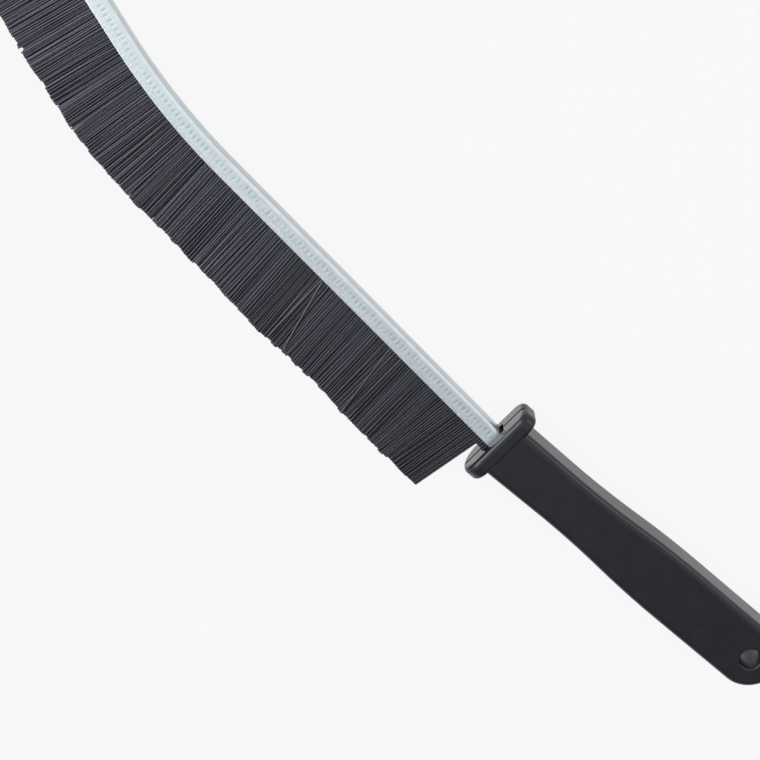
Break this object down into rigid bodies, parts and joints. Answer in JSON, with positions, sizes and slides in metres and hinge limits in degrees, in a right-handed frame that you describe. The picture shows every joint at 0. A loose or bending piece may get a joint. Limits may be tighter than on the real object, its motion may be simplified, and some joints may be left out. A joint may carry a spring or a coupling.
{
  "type": "crevice brush",
  "caption": "Crevice brush: a bent, crimped steel strip holding one thin row of stiff black bristles, pushed into a moulded handle with a hand guard and a hang hole.",
  "frame": {"origin": "on the flat underside of the hand guard, below the handle's axis, where the brush lies on a table", "axes": "+X along the handle's axis towards the brush's tip, +Y towards the bristles, +Z out of the upper broad face"},
  "size_m": [0.265, 0.0498, 0.0108],
  "materials": {
    "handle_plastic": "satin black moulding",
    "zinc_steel": "zinc-coated sheet, crimped",
    "wire_steel": "plain drawn wire",
    "bristle_plastic": "black filament"
  },
  "bodies": {
    "root": {"handle": "handle_plastic", "strip_channel": "zinc_steel", "core_wire": "wire_steel", "tang_fill": "bristle_plastic", "bristle_tuft_01": "bristle_plastic", "bristle_tuft_02": "bristle_plastic", "bristle_tuft_03": "bristle_plastic", "bristle_tuft_04": "bristle_plastic", "bristle_tuft_05": "bristle_plastic", "bristle_tuft_06": "bristle_plastic", "bristle_tuft_07": "bristle_plastic", "bristle_tuft_08": "bristle_plastic", "bristle_tuft_09": "bristle_plastic", "bristle_tuft_10": "bristle_plastic", "bristle_tuft_11": "bristle_plastic", "bristle_tuft_12": "bristle_plastic", "bristle_tuft_13": "bristle_plastic", "bristle_tuft_14": "bristle_plastic", "bristle_tuft_15": "bristle_plastic", "bristle_tuft_16": "bristle_plastic", "bristle_tuft_17": "bristle_plastic", "bristle_tuft_18": "bristle_plastic", "bristle_tuft_19": "bristle_plastic", "bristle_tuft_20": "bristle_plastic", "bristle_tuft_21": "bristle_plastic", "bristle_tuft_22": "bristle_plastic", "bristle_tuft_23": "bristle_plastic", "bristle_tuft_24": "bristle_plastic", "bristle_tuft_25": "bristle_plastic", "bristle_tuft_26": "bristle_plastic", "bristle_tuft_27": "bristle_plastic", "bristle_tuft_28": "bristle_plastic", "bristle_tuft_29": "bristle_plastic", "bristle_tuft_30": "bristle_plastic", "bristle_tuft_31": "bristle_plastic", "bristle_tuft_32": "bristle_plastic", "bristle_tuft_33": "bristle_plastic", "bristle_tuft_34": "bristle_plastic", "bristle_tuft_35": "bristle_plastic", "bristle_tuft_36": "bristle_plastic", "bristle_tuft_37": "bristle_plastic", "bristle_tuft_38": "bristle_plastic", "bristle_tuft_39": "bristle_plastic", "bristle_tuft_40": "bristle_plastic"}
  },
  "joints": []
}
